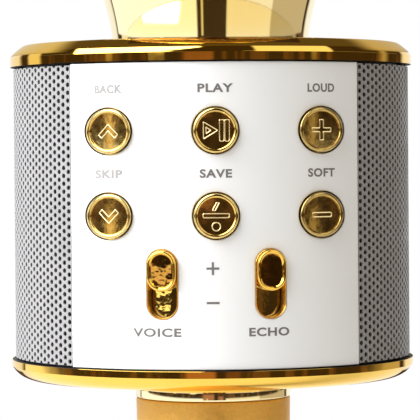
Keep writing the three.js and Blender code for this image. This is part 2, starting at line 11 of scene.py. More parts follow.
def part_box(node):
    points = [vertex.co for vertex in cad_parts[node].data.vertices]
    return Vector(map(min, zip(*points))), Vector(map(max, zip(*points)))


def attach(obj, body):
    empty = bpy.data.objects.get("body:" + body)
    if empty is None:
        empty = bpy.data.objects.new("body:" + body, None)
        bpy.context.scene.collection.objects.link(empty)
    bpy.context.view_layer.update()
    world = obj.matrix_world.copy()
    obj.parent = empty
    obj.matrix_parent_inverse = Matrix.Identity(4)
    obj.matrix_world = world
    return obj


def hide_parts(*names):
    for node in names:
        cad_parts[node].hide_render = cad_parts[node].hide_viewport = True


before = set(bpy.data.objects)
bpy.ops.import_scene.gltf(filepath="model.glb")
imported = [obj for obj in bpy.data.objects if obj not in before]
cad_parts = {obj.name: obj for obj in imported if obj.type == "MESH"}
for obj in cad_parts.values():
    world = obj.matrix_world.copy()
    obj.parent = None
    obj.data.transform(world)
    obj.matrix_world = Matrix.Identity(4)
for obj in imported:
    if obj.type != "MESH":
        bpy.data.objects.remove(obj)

MM = 0.001
FRONT, BACK = -1, 1
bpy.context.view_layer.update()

# ---------------- camera
CAMERA_AT = Vector((-11.4, -544.9, 146.05)) * MM
LOOK_AT = Vector((-0.34, 0, 135.25)) * MM
LENS = 233.6
SENSOR = 36
ROLL = math.radians(-0.47)


def add_camera():
    camera = bpy.data.objects.new("camera", bpy.data.cameras.new("camera"))
    camera.data.lens = LENS
    camera.data.sensor_width = SENSOR
    camera.data.clip_start = 0.05
    aim = (LOOK_AT - CAMERA_AT).to_track_quat("-Z", "Y").to_matrix().to_4x4()
    camera.matrix_world = Matrix.Translation(CAMERA_AT) @ aim @ Matrix.Rotation(ROLL, 4, "Z")
    bpy.context.scene.collection.objects.link(camera)
    bpy.context.scene.camera = camera


add_camera()
bpy.context.scene.view_settings.view_transform = "Standard"


# ---------------- shader helpers
def add(tree, kind, inputs=None, **settings):
    """Adds a node. An input's value is a number, a colour, or another node's output to link."""
    node = tree.nodes.new(kind)
    for key, value in settings.items():
        setattr(node, key, value)
    for key, value in (inputs or {}).items():
        if isinstance(value, bpy.types.NodeSocket):
            tree.links.new(value, node.inputs[key])
        else:
            node.inputs[key].default_value = value
    return node


def maths(tree, operation, a, b=0.0):
    return add(tree, "ShaderNodeMath", {0: a, 1: b}, operation=operation).outputs[0]


def rise(tree, value, low, high):
    """0 below low, 1 above high, smooth between."""
    inputs = {"Value": value, "From Min": low, "From Max": high, "To Min": 0.0, "To Max": 1.0}
    return add(tree, "ShaderNodeMapRange", inputs, interpolation_type="SMOOTHSTEP").outputs[0]


def blend_colours(tree, factor, below, above):
    return add(tree, "ShaderNodeMix", {0: factor, 6: below, 7: above}, data_type="RGBA").outputs[2]


def noise(tree, at, size, detail=3.0, roughness=0.5):
    """Noise whose blobs are about size metres across."""
    inputs = {"Vector": at, "Scale": 1 / size, "Detail": detail, "Roughness": roughness}
    return add(tree, "ShaderNodeTexNoise", inputs).outputs["Fac"]


PATCH_SPREAD = (0.3, 0.7)
GLOSS_SPREAD = (0.8, 1.25)


def finish(name, colour, metallic, roughness, grain, height, mottle=0.06, patch=6.0):
    """A moulded, plated or painted surface: its colour and gloss vary in patches, and a fine grain
    stands height above it. grain, height and patch are in millimetres."""
    material = bpy.data.materials.new(name)
    material.use_nodes = True
    tree = material.node_tree
    tree.nodes.clear()
    at = add(tree, "ShaderNodeTexCoord").outputs["Object"]
    patches = noise(tree, at, patch * MM)
    dark = [c * (1 - mottle) for c in colour] + [1]
    light = [min(1, c * (1 + mottle)) for c in colour] + [1]
    inputs = {"Value": patches, "From Min": PATCH_SPREAD[0], "From Max": PATCH_SPREAD[1],
              "To Min": roughness * GLOSS_SPREAD[0], "To Max": roughness * GLOSS_SPREAD[1]}
    gloss = add(tree, "ShaderNodeMapRange", inputs).outputs[0]
    relief = noise(tree, at, grain * MM, detail=2.0)
    bump = add(tree, "ShaderNodeBump", {"Strength": 1.0, "Distance": height * MM, "Height": relief})
    surface = add(tree, "ShaderNodeBsdfPrincipled", {
        "Base Color": blend_colours(tree, patches, dark, light),
        "Metallic": metallic,
        "Roughness": gloss,
        "Normal": bump.outputs[0],
    })
    add(tree, "ShaderNodeOutputMaterial", {"Surface": surface.outputs[0]})
    return material


# Each finish is its colour, metalness, roughness, grain, grain height, and how much and how widely its
# patches vary. The last two may be left out.
FINISHES = {
    "gold_mirror": ((0.95, 0.62, 0.115), 1.0, 0.045, 7.0, 0.012, 0.03),
    "gold_button": ((0.9, 0.56, 0.2), 1.0, 0.1, 1.8, 0.022, 0.42, 1.3),
    "gold_satin": ((0.77, 0.44, 0.095), 0.6, 0.42, 0.35, 0.03, 0.2, 0.5),
    "gold_mesh": ((0.94, 0.66, 0.2), 1.0, 0.28, 0.8, 0.005, 0.1, 3.0),
    "silver_grille": ((0.29, 0.29, 0.3), 0.3, 0.42, 0.4, 0.004, 0.05),
    "white_plastic": ((0.765, 0.782, 0.806), 0.0, 0.34, 0.6, 0.0012, 0.002, 40.0),
    # This black is the finish of the black plastic parts; the rings also wear it on their seats as painted
    # shade for the dark gap against the panels.
    "black_plastic": ((0.02, 0.02, 0.022), 0.0, 0.45, 0.4, 0.01),
    "speaker_cloth": ((0.003, 0.003, 0.003), 0.0, 0.95, 0.5, 0.06, 0.3),
    "speaker_cone": ((0.03, 0.028, 0.026), 0.0, 0.85, 0.8, 0.04, 0.2),
    "foam": ((0.03, 0.03, 0.032), 0.0, 0.95, 0.7, 0.25, 0.4, 0.9),
    "rubber": ((0.025, 0.025, 0.027), 0.0, 0.7, 0.6, 0.02),
    "circuit_board": ((0.02, 0.13, 0.05), 0.0, 0.4, 1.5, 0.01, 0.25, 2.0),
    "steel": ((0.56, 0.57, 0.59), 1.0, 0.28, 0.6, 0.004),
    "capsule_metal": ((0.6, 0.6, 0.61), 1.0, 0.35, 0.5, 0.006),
    "magnet": ((0.05, 0.05, 0.055), 0.4, 0.5, 0.8, 0.02, 0.2),
    "battery_wrap": ((0.03, 0.12, 0.4), 0.0, 0.35, 2.0, 0.01),
    "clear_lens": ((0.8, 0.86, 0.82), 0.0, 0.08, 1.0, 0.001, 0.02),
    "red_wire": ((0.4, 0.02, 0.02), 0.0, 0.45, 0.8, 0.01),
    "black_wire": ((0.02, 0.02, 0.02), 0.0, 0.45, 0.8, 0.01),
    "ribbon": ((0.7, 0.7, 0.66), 0.0, 0.5, 1.27, 0.05, 0.1, 1.27),
    # A paler copy of gold_mirror: painted highlight, so that the neck's, the handle socket's and the upper
    # ring top's reflections come out cream.
    "pale_gold_mirror": ((0.97, 0.85, 0.52), 1.0, 0.04, 7.0, 0.008, 0.02),
    # Paler and rougher than gold_button, for the icons' raised lines: the roughness is real, and the paler
    # colour is a painted highlight along them.
    "ridge_highlight_gold": ((0.97, 0.8, 0.46), 1.0, 0.3, 0.6, 0.004, 0.05),
    # A darker copy of gold_mirror: painted shade on the upper ring's shoulder in front of the neck and in
    # the knobs' dishes.
    "shaded_gold": ((0.42, 0.24, 0.07), 1.0, 0.05, 2.5, 0.05, 0.4, 1.6),
    # A darker copy of gold_button: painted shade on the right column's buttons, on the side away from the
    # key light.
    "right_column_shade_gold": ((0.54, 0.385, 0.135), 1.0, 0.1, 1.8, 0.022, 0.5, 1.3),
    "plate_gold": ((0.95, 0.6, 0.2), 1.0, 0.05, 2.2, 0.06, 0.4, 1.6),
    # Darker and rougher than gold_mirror, for the slots' linings: the roughness is real, and the darkness
    # is painted shade inside the slots.
    "lining_gold": ((0.74, 0.4, 0.075), 0.9, 0.24, 1.0, 0.01, 0.15),
    "printed_ink": ((0.15, 0.14, 0.14), 0.0, 0.5, 0.3, 0.002),
    # A paler ink for the left column's captions: painted light, for the strong light from the left.
    "left_lit_ink": ((0.27, 0.265, 0.265), 0.0, 0.5, 0.3, 0.002),
}
MATERIALS = {name: finish(name, *row) for name, row in FINISHES.items()}


# ---------------- mesh helpers
def add_piece(name, verts, faces, body, slot, replaces=(), material=None, sharp=35, tidy=True, extras=()):
    """Makes a mesh piece from millimetre vertices, shades it smooth except across edges sharper
    than sharp degrees, and rides it on a body. It wears the slot's finish unless material names
    another. Each of extras is one more finish and a test of a face's number and middle, in metres,
    for the faces that wear it. tidy turns the faces outward."""
    mesh = bpy.data.meshes.new(name)
    mesh.from_pydata((np.asarray(verts, float) * MM).tolist(), [], faces)
    if tidy:
        bm = bmesh.new()
        bm.from_mesh(mesh)
        bmesh.ops.recalc_face_normals(bm, faces=bm.faces)
        bm.to_mesh(mesh)
        bm.free()
    mesh.shade_smooth()
    mesh.set_sharp_from_angle(angle=math.radians(sharp))
    mesh.materials.append(MATERIALS[material or slot])
    for number, (extra, test) in enumerate(extras, 1):
        mesh.materials.append(MATERIALS[extra])
        for face in mesh.polygons:
            if test(face.index, face.center):
                face.material_index = number
    piece = bpy.data.objects.new(name, mesh)
    bpy.context.scene.collection.objects.link(piece)
    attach(piece, body)
    if replaces:
        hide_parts(*replaces)
    return piece


class Shape:
    """Vertices and faces gathered from several closed shells."""

    def __init__(self):
        self.verts = []
        self.faces = []

    def put(self, verts, faces):
        start = len(self.verts)
        self.verts.extend([tuple(v) for v in verts])
        self.faces.extend([tuple(start + i for i in face) for face in faces])

    def piece(self, name, body, slot, **options):
        return add_piece(name, self.verts, self.faces, body, slot, **options)


def curve(start, control, end, steps=8):
    """Points along a quadratic curve."""
    t = np.linspace(0, 1, steps)[:, None]
    points = (1 - t) ** 2 * np.array(start) + 2 * t * (1 - t) * np.array(control) + t ** 2 * np.array(end)
    return [tuple(p) for p in points]


def rounded(corners, steps=6):
    """An outline of (radius, height, rounding) corners, with each corner cut by a short curve."""
    outline = []
    for i, (r, z, cut) in enumerate(corners):
        here = np.array((r, z), float)
        if cut == 0:
            outline.append((r, z))
            continue
        before = np.array(corners[i - 1][:2]) - here
        after = np.array(corners[(i + 1) % len(corners)][:2]) - here
        start = here + before / np.linalg.norm(before) * cut
        end = here + after / np.linalg.norm(after) * cut
        outline.extend(curve(start, here, end, steps))
    return outline


def loops(rings, closed):
    """Faces between successive rings of vertex numbers. A ring of one vertex is a pole."""
    faces = []
    pairs = list(zip(rings, rings[1:]))
    if closed:
        pairs.append((rings[-1], rings[0]))
    for a, b in pairs:
        if len(a) == 1 and len(b) == 1:
            continue
        count = max(len(a), len(b))
        for k in range(count):
            n = (k + 1) % count
            if len(a) == 1:
                faces.append((a[0], b[n], b[k]))
            elif len(b) == 1:
                faces.append((a[k], a[n], b[0]))
            else:
                faces.append((a[k], a[n], b[n], b[k]))
    return faces


def stack(outlines, closed=False):
    """Verts and faces of a skin over outlines, each a list of points or one point for a pole."""
    verts = []
    rings = []
    for outline in outlines:
        rings.append(list(range(len(verts), len(verts) + len(outline))))
        verts.extend(outline)
    return verts, loops(rings, closed)


def revolve(outline, segments=160):
    """Verts and faces of a closed outline of (radius, height) turned round the Z axis."""
    angles = np.linspace(0, 2 * math.pi, segments, endpoint=False)
    outlines = []
    for r, z in outline:
        if r < 1e-6:
            outlines.append([(0, 0, z)])
        else:
            outlines.append([(r * math.cos(a), r * math.sin(a), z) for a in angles])
    return stack(outlines, closed=True)


def turned(name, outline, body, slot, **options):
    return add_piece(name, *revolve(outline), body, slot, **options)


def extent(node):
    """A turned CAD node's largest radius, foot and top, in millimetres."""
    low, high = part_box(node)
    return high.x / MM, low.z / MM, high.z / MM


def centre(node):
    """The middle of a CAD node's box, in millimetres."""
    low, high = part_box(node)
    return (low + high) / 2 / MM


def size(node):
    """The spans of a CAD node's box, in millimetres."""
    low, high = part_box(node)
    return (high - low) / MM


def thin_solid(front, back, faces):
    """Verts and faces of the solid between two matching sheets of points."""
    count = len(front)
    directed = dict.fromkeys((a, b) for f in faces for a, b in zip(f, f[1:] + f[:1]))
    walls = [(a, count + a, count + b, b) for a, b in directed if (b, a) not in directed]
    backs = [tuple(count + i for i in reversed(f)) for f in faces]
    return [*front, *back], [*faces, *backs, *walls]


# ---------------- turned pieces
END_CAP_THREAD = 5.5
SOCKET_GAP = 0.06
# painted shade: down this far from the top, and this far either side of the middle, the upper ring's
# shoulder wears a darker copy of the gold in place of the neck's reflection
SHADED_DROP, SHADED_REACH = 0.95, 16  # the upper ring's shoulder in front of the neck
TOP_SKIN, SEAT_SKIN = 0.02, 0.01  # how near a face's middle is to the level it lies on
NECK_FLARE = 6.5
NECK_FLARE_POWER = 1.5
NECK_FLARE_END = 0.97
NECK_BORE = [(21, 183.2), (19, 180), (17.6, 173)]
NECK_FLOOR = 2.2
COLLAR_GAP = 0.3
COLLAR_LEDGE = 192.5


def build_handle():
    radius, foot, top = extent("end_cap")
    seat = top - END_CAP_THREAD
    turned("end_cap_turned", rounded([
        (0, foot, 0), (radius - 0.9, foot, 0.3), (radius - 0.2, foot + 0.9, 0.4), (radius, seat, 0.25),
        (radius - 1.8, seat, 0), (radius - 1.8, top, 0), (0, top, 0),
    ]), "housing", "gold_mirror", replaces=("end_cap",))

    radius, foot, top = extent("end_ring")
    turned("end_ring_turned", rounded([
        (12, foot, 0), (radius - 0.3, foot, 0.3), (radius, (foot + top) / 2, 0.9),
        (radius - 0.3, top, 0.3), (12, top, 0),
    ]), "housing", "gold_mirror", replaces=("end_ring",))

    radius, foot, top = extent("handle_tube")
    turned("handle_tube_turned", rounded([
        (radius - 3.4, foot, 0), (radius - 1.8, foot, 0.25), (radius, top, 0.5), (radius - 1.6, top, 0),
    ]), "housing", "gold_satin", replaces=("handle_tube",))

    top_of_tube = top
    flange, foot, top = extent("handle_socket")
    seat = top_of_tube + SOCKET_GAP
    # painted highlight: the socket wears the paler copy of the gold so that its reflections come out cream
    turned("handle_socket_turned", [
        (9, foot), (13.3, foot), (13.3, seat), *curve((15, seat), (15.42, seat), (15.42, seat + 0.5), 8),
        *curve((15.42, seat + 1.65), (15.42, seat + 2.3), (14.9, seat + 2.7), 10), (14.8, seat + 3.9),
        (15.4, top - 1.7), (flange, top - 1.7), (flange, top), (9, top),
    ], "housing", "gold_mirror", replaces=("handle_socket",), material="pale_gold_mirror", sharp=12)


def build_rings():
    radius, foot, top = extent("upper_ring")
    seat = foot + 2
    crisp = (radius - 0.58, seat + 2.55)
    turned("upper_ring_turned", [
        (8, top - 2), (radius - 4, top - 2), (radius - 4, foot), (radius - 2.8, foot), (radius - 2.8, seat),
        (radius - 0.07, seat), (radius, seat + 1.55),
        *curve((radius - 0.02, seat + 1.6), (radius - 0.145, seat + 2.1), crisp, 12),
        *curve(crisp, (radius - 1.505, seat + 3.413), (radius - 2.45, seat + 4.05), 8)[1:],
        *curve((radius - 2.5, top - 0.22), (radius - 2.8, top), (radius - 3.4, top), 8), (8, top),
    ], "housing", "gold_mirror", replaces=("upper_ring",), sharp=6, extras=[
        # painted shade: a darker copy of the gold on the shoulder in front of the neck
        ("shaded_gold", lambda _, at: at.z > (top - SHADED_DROP) * MM and abs(at.x) < SHADED_REACH * MM),
        # painted highlight: the ring's flat top wears the paler copy of the gold so that its reflection in
        # the neck comes out cream
        ("pale_gold_mirror", lambda _, at: at.z > (top - TOP_SKIN) * MM),
        # painted shade: the faces at and below the seat wear black for the dark gap between the ring and
        # the panel
        ("black_plastic", lambda _, at: at.z < (seat + SEAT_SKIN) * MM),
    ])

    radius, foot, top = extent("lower_ring")
    seat = top - 2
    edge = (radius, foot + 2.5)
    turned("lower_ring_turned", [
        (15.9, foot), (radius - 3.6, foot),
        *curve((radius - 3.4, foot), (radius - 1.1, foot + 0.55), edge, 16),
        (radius, seat - 0.03), (radius - 0.03, seat),
        (radius - 2.8, seat), (radius - 2.8, top), (radius - 4, top), (radius - 4, foot + 2),
        (15.9, foot + 2),
    ], "housing", "gold_mirror", replaces=("lower_ring",), sharp=6, extras=[
        # painted shade: the faces at and above the seat wear black for the dark gap between the ring and
        # the panel
        ("black_plastic", lambda _, at: at.z > (seat - SEAT_SKIN) * MM),
    ])


def build_neck():
    radius, foot, top = extent("neck")
    root = radius - NECK_FLARE
    height = top - foot
    flare = [(root + NECK_FLARE * t ** NECK_FLARE_POWER, foot + t * height)
             for t in np.linspace(0, NECK_FLARE_END, 48)]
    lip = curve(flare[-1], (radius, top - 0.25), (radius - 0.5, top), 6)[1:]
    floor = foot + NECK_FLOOR
    # painted highlight: the neck wears the paler copy of the gold so that its reflections come out cream
    turned("neck_turned", [
        (7, foot), *flare, *lip, (NECK_BORE[0][0], top), *NECK_BORE, (NECK_BORE[-1][0], floor), (7, floor),
    ], "housing", "gold_mirror", replaces=("neck",), material="pale_gold_mirror")


def build_collar():
    radius, foot, top = extent("head_collar")
    seat = extent("neck")[2] + COLLAR_GAP
    turned("head_collar_turned", rounded([
        (18.8, foot, 0), (20.6, foot, 0), (20.6, seat, 0), (radius - 0.8, seat, 0.25),
        (radius, seat + 1.4, 0.8), (radius, top - 1.5, 0.8), (radius - 0.9, top, 0.4),
        (24.4, top, 0), (24.4, COLLAR_LEDGE, 0), (18.8, COLLAR_LEDGE, 0),
    ]), "head", "gold_mirror", replaces=("head_collar",))

    radius, foot, top = extent("grille_band")
    turned("grille_band_turned", rounded([
        (27.2, foot, 0), (radius - 0.5, foot, 0.3), (radius, foot + 1.1, 0.7), (radius, top - 1.1, 0.7),
        (radius - 0.5, top, 0.3), (27.2, top, 0),
    ]), "head", "gold_mirror", replaces=("grille_band",))


# ---------------- woven ball grille
WIRE = 0.22  # radius
WIRE_SIDES = 5
WIRE_TIP = 0.6  # how far an end stands out, in radii
WEAVE = 0.24  # how far a wire swings over and under the ones it crosses
MESH_PITCH = 1.9


def tube(points, radius, normals, sides, closed=False):
    """Verts and faces of a round wire along points. normals say which way is out at each of them."""
    p = np.asarray(points, float)
    if closed:
        tangent = np.roll(p, -1, 0) - np.roll(p, 1, 0)
    else:
        tangent = np.gradient(p, axis=0)
    tangent /= np.linalg.norm(tangent, axis=1)[:, None]
    up = np.asarray(normals, float)
    up = up - (up * tangent).sum(1)[:, None] * tangent
    up /= np.linalg.norm(up, axis=1)[:, None]
    side = np.cross(tangent, up)
    a = np.linspace(0, 2 * math.pi, sides, endpoint=False)
    outlines = [[at + radius * (math.cos(t) * across + math.sin(t) * out) for t in a]
                for at, across, out in zip(p, side, up)]
    if not closed:
        tip = [p[0] - tangent[0] * radius * WIRE_TIP]
        tail = [p[-1] + tangent[-1] * radius * WIRE_TIP]
        outlines = [tip, *outlines, tail]
    return stack(outlines, closed=closed)


def build_dome():
    """Two crossing sets of wires, laid flat on a grid and then drawn up over the ball."""
    radius, foot, top = extent("grille_dome")
    radius -= WIRE + WEAVE
    height = top - foot - WIRE - WEAVE
    reach = radius * math.pi / 2
    shape = Shape()
    count = int(reach / MESH_PITCH)
    for across in (False, True):
        for i in range(-count, count + 1):
            offset = i * MESH_PITCH
            half = math.sqrt(max(0, reach ** 2 - offset ** 2))
            steps = int(half / (MESH_PITCH / 2))
            if steps < 2:
                continue
            along = np.arange(-steps, steps + 1) * MESH_PITCH / 2
            flat = np.array([(s, offset) if across else (offset, s) for s in along])
            distance = np.linalg.norm(flat, axis=1)
            tilt = distance / radius
            heading = flat / np.maximum(distance, 1e-9)[:, None]
            normals = np.column_stack([heading * np.sin(tilt)[:, None], np.cos(tilt)])
            wave = np.cos(math.pi * along / MESH_PITCH) * (-1) ** i * WEAVE * (1 if across else -1)
            base = np.column_stack([
                heading * (radius * np.sin(tilt))[:, None], foot + height * np.cos(tilt)])
            shape.put(*tube(base + normals * wave[:, None], WIRE, normals, WIRE_SIDES))
    shape.piece("dome_weave", "head", "gold_mesh", replaces=("grille_dome",), sharp=80, tidy=False)


def build_lower_mesh():
    """Two sets of wires that wind up the lower grille in opposite ways."""
    radius, foot, top = extent("grille_lower")
    heights = [foot, foot + 3.9, foot + 9.4, top]
    radii = [radius - 2.4, radius - 1.3, radius - 0.4, radius]
    height = top - foot
    turns = int(2 * math.pi * radius / (MESH_PITCH * math.sqrt(2)))
    steps = int(height / (MESH_PITCH / math.sqrt(2) / 2))
    shape = Shape()
    for lean in (-1, 1):
        for i in range(turns):
            s = np.arange(steps + 1)
            z = foot + height * s / steps
            angle = 2 * math.pi * i / turns + lean * (z - foot) / radius
            normals = np.column_stack([np.cos(angle), np.sin(angle), np.zeros(len(z))])
            wave = np.cos(math.pi * s / 2 + (math.pi if i % 2 else 0)) * WEAVE * lean
            r = np.interp(z, heights, radii) - WIRE - WEAVE + wave
            points = np.column_stack([normals[:, :2] * r[:, None], z])
            shape.put(*tube(points, WIRE, normals, WIRE_SIDES))
    shape.piece("lower_weave", "head", "gold_mesh", replaces=("grille_lower",), sharp=80, tidy=False)


# ---------------- foam
FOAM_RISE = 26.6  # height of the liner's round top
FOAM_WALL = 2.6
FOAM_SINK = 0.4
FOAM_LUMP = 1.1
SLEEVE_GAP = 0.3
FOAM_TAPER = [(0, 2.7), (11, 1), (19, 0)]  # height above the foot, and how far in from the full radius


def foam_piece(name, outline, body, node):
    """A turned foam piece whose skin sinks a little here and there, as cut foam does."""
    piece = turned(name, outline, body, "foam", replaces=(node,))
    for vertex in piece.data.vertices:
        depth = (1 + lumps(vertex.co / MM / FOAM_LUMP)) / 2
        vertex.co -= vertex.normal * depth * FOAM_SINK * MM


def build_foam():
    radius, foot, top = extent("foam_windscreen")
    shoulder = foot + FOAM_TAPER[-1][0]
    middle = top - FOAM_RISE
    arc = np.linspace(0, math.pi / 2, 30)
    heights = np.linspace(foot, shoulder, 20)
    outer = np.interp(heights, [foot + h for h, _ in FOAM_TAPER], [radius - cut for _, cut in FOAM_TAPER])
    bore, bore_rise = radius - FOAM_WALL, FOAM_RISE - FOAM_WALL
    inner = np.interp(heights, (foot, shoulder), (bore - FOAM_TAPER[0][1], bore))
    foam_piece("foam_liner", [
        *[(radius * math.cos(a), middle + FOAM_RISE * math.sin(a)) for a in arc[::-1]],
        *zip(outer[::-1], heights[::-1]),
        *zip(inner, heights),
        *[(bore * math.cos(a), middle + bore_rise * math.sin(a)) for a in arc],
    ], "windscreen", "foam_windscreen")

    radius, foot, top = extent("battery_sleeve")
    heights = np.linspace(foot, top, 40)
    bore = extent("battery_cell")[0] + SLEEVE_GAP
    foam_piece("foam_sleeve", [*[(bore, z) for z in heights], *[(radius, z) for z in heights[::-1]]],
               "housing", "battery_sleeve")


# ---------------- curved panels
def circle(x, z, radius, count):
    return pill(x, z, radius, 0, count)


def pill(x, z, radius, straight, count=56):
    """An upright round-ended outline; straight is half the length of its straight sides."""
    angles = np.linspace(0, 2 * math.pi, count, endpoint=False)
    lift = np.sign(np.round(np.sin(angles), 9)) * straight
    return np.column_stack([x + radius * np.cos(angles), z + radius * np.sin(angles) + lift])


def bar(half_width, half_height, x=0.0, z=0.0):
    """The corners of a rectangle round x, z."""
    return [(x + half_width, z + half_height), (x - half_width, z + half_height),
            (x - half_width, z - half_height), (x + half_width, z - half_height)]


def box_outline(x, z, half_width, half_height, corner=0.3):
    """A rectangle round x, z with rounded corners."""
    corners = [(*at, corner) for at in bar(half_width, half_height, x, z)]
    return np.array(rounded(corners, 5))


def inside(points, outline):
    """Which points lie inside a closed outline."""
    x, z = points[:, 0], points[:, 1]
    hit = np.zeros(len(points), bool)
    for (x0, z0), (x1, z1) in zip(outline, np.roll(outline, -1, 0)):
        crosses = (z0 > z) != (z1 > z)
        if z0 == z1:
            continue
        hit ^= crosses & (x < x0 + (z - z0) / (z1 - z0) * (x1 - x0))
    return hit


PANEL_RADIUS = 39.5
PANEL_WALL = 1.8
PANEL_CELL = 0.9
PANEL_ROWS = 41
HOLE_MARGIN = 0.5
EDGE_STEPS = [(0.22, 0.0), (0.1, 0.025), (0.0, 0.1)]  # how far from an edge, and how far it drops


def panel_points(half_angle, foot, top, holes):
    """Points over a flattened panel, how far each one drops, and the edges of its border and holes."""
    half = PANEL_RADIUS * math.sin(half_angle)
    points, drops, edges = [], [], []

    def outline(path, drop):
        start = len(points)
        points.extend([tuple(p) for p in path])
        drops.extend([drop] * len(path))
        edges.extend([(start + i, start + (i + 1) % len(path)) for i in range(len(path))])

    thetas = np.linspace(-half_angle, half_angle, int(half_angle * PANEL_RADIUS * 2 / PANEL_CELL))
    for inset, drop in EDGE_STEPS:
        a = np.arcsin(np.clip((half - inset) / PANEL_RADIUS, -1, 1))
        across = PANEL_RADIUS * np.sin(np.linspace(-a, a, len(thetas)))
        lower = [(x, foot + inset) for x in across]
        upper = [(x, top - inset) for x in across[::-1]]
        heights = np.linspace(foot + inset, top - inset, PANEL_ROWS)[1:-1]
        rising = [(half - inset, z) for z in heights]
        falling = [(inset - half, z) for z in heights[::-1]]
        outline([*lower, *rising, *upper, *falling], drop)
        for hole in holes:
            outline(hole(inset), drop)

    rows = np.linspace(foot, top, PANEL_ROWS)
    grid = np.array([(PANEL_RADIUS * math.sin(t), z) for t in thetas[1:-1] for z in rows[1:-1]])
    clear = np.ones(len(grid), bool)
    for hole in holes:
        clear &= ~inside(grid, hole(HOLE_MARGIN))
    points.extend([tuple(p) for p in grid[clear]])
    drops.extend([0.0] * clear.sum())
    return points, drops, edges


def flat_panel(half_angle, foot, top, holes):
    """A flattened panel with its holes cut out: its points, how far each one drops, and its faces."""
    points, drops, edges = panel_points(half_angle, foot, top, holes)
    found, _, faces, origins, _, _ = delaunay_2d_cdt([Vector(p) for p in points], edges, [], 0, 1e-5)
    flat = np.array([(v.x, v.y) for v in found])
    fall = np.array([drops[o[0]] if o else 0.0 for o in origins])
    centres = np.array([flat[list(f)].mean(0) for f in faces])
    keep = np.ones(len(faces), bool)
    for hole in holes:
        keep &= ~inside(centres, hole(0.0))
    faces = [f for f, k in zip(faces, keep) if k]
    used = sorted({i for f in faces for i in f})
    number = {v: i for i, v in enumerate(used)}
    return flat[used], fall[used], [tuple(number[i] for i in f) for f in faces]


def curved_panel(name, node, facing, half_angle, holes, hold):
    """A sheet bent round the Z axis with softened holes and borders. Holes run along Y; holes is a
    list of functions that give an outline grown by some amount. hold is the half width within
    which the inner face has the same x as the outer one."""
    low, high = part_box(node)
    flat, fall, faces = flat_panel(half_angle, low.z / MM, high.z / MM, holes)
    inner = PANEL_RADIUS - PANEL_WALL
    half, inner_half = PANEL_RADIUS * math.sin(half_angle), inner * math.sin(half_angle)
    x = flat[:, 0]
    r = PANEL_RADIUS - fall
    outer_y = np.sqrt(r ** 2 - np.minimum(np.abs(x), r) ** 2)
    far = np.maximum(0, np.abs(x) - hold)
    inner_x = np.sign(x) * (np.minimum(np.abs(x), hold) + far * (inner_half - hold) / (half - hold))
    inner_y = np.sqrt(inner ** 2 - inner_x ** 2)
    outer = np.column_stack([x * -facing, outer_y * facing, flat[:, 1]])
    back = np.column_stack([inner_x * -facing, inner_y * facing, flat[:, 1]])
    verts, faces = thin_solid(outer.tolist(), back.tolist(), faces)
    add_piece(name, verts, faces, "housing", "white_plastic", replaces=(node,), sharp=45)


BUTTONS = {
    "previous": "previous_button", "play": "play_button", "volume_up": "volume_up_button",
    "next": "next_button", "record": "record_button", "volume_down": "volume_down_button",
}
SLIDERS = {"mic_volume": "mic_volume_knob", "echo": "echo_knob"}
CAP_RADIUS = 4.2
HOLE_RADIUS = 4.5
FRONT_HALF_ANGLE = math.radians(43.4)
BACK_HALF_ANGLE = math.radians(20)
FRONT_HOLD, BACK_HOLD = 24.7, 4.0
BEZEL_GAP = 0.05
SWITCH_SLOT = (1.4, 2.2)  # radius of the ends, and half the straight length
LENS_HOLE = 1.2
CHARGE_HOLE = (1.8, 4.2)  # half width and half height
CARD_HOLE = (1.1, 6.2)
AUX_HOLE = 3.3


def build_panels():
    holes = []
    for name in BUTTONS:
        at = centre(f"button_{name}")
        holes.append(lambda grow, at=at: circle(at.x, at.z, HOLE_RADIUS + grow, 56))
    for name in SLIDERS:
        at, span = centre(f"slider_bezel_{name}"), size(f"slider_bezel_{name}")
        half, straight = span.x / 2 + BEZEL_GAP, (span.z - span.x) / 2
        holes.append(lambda grow, at=at, half=half, straight=straight:
                     pill(at.x, at.z, half + grow, straight))
    curved_panel("front_panel_moulded", "front_panel", FRONT, FRONT_HALF_ANGLE, holes, FRONT_HOLD)

    power, lens = centre("power_switch"), centre("status_lens")
    charge, card, aux = centre("charge_socket"), centre("card_socket"), centre("audio_jack")
    rear_holes = [
        lambda grow: pill(0, power.z, SWITCH_SLOT[0] + grow, SWITCH_SLOT[1]),
        lambda grow: circle(0, lens.z, LENS_HOLE + grow, 32),
        lambda grow: box_outline(0, charge.z, CHARGE_HOLE[0] + grow, CHARGE_HOLE[1] + grow),
        lambda grow: box_outline(0, card.z, CARD_HOLE[0] + grow, CARD_HOLE[1] + grow),
        lambda grow: circle(0, aux.z, AUX_HOLE + grow, 40),
    ]
    curved_panel("back_panel_moulded", "back_panel", BACK, BACK_HALF_ANGLE, rear_holes, BACK_HOLD)


# ---------------- buttons and sliders
BUTTON_TOP = PANEL_RADIUS + 0.9
DISH_RADIUS = 3.42
DISH_FLOOR = -0.4
DISH_RISE = 0.05
DISH_PROFILE = [(r, DISH_FLOOR + DISH_RISE * (r / DISH_RADIUS) ** 2)
                for r in np.linspace(0, DISH_RADIUS, 12)]
BEAD_PROFILE = [(3.46, -0.24), (3.53, -0.12), (3.63, -0.035), (3.76, 0), (3.92, -0.025), (4.06, -0.11),
                (4.16, -0.25), (CAP_RADIUS, -0.42), (CAP_RADIUS, -1.4)]
ROUND = 72  # points round a button or a knob
FLANGE_FRONT = 37.3
FLANGE_WALL = 0.8
STEM_RADIUS = 1.6
RIDGE_WIDTH = 0.22
RIDGE_SIDES = 8
RIDGE_LIFT = 0.02
RIDGE_STEP = 0.3


def button_point(x, z, radius):
    """A point in front of the panel at x, z, on the cylinder of that radius."""
    return (x, -math.sqrt(radius ** 2 - x ** 2), z)


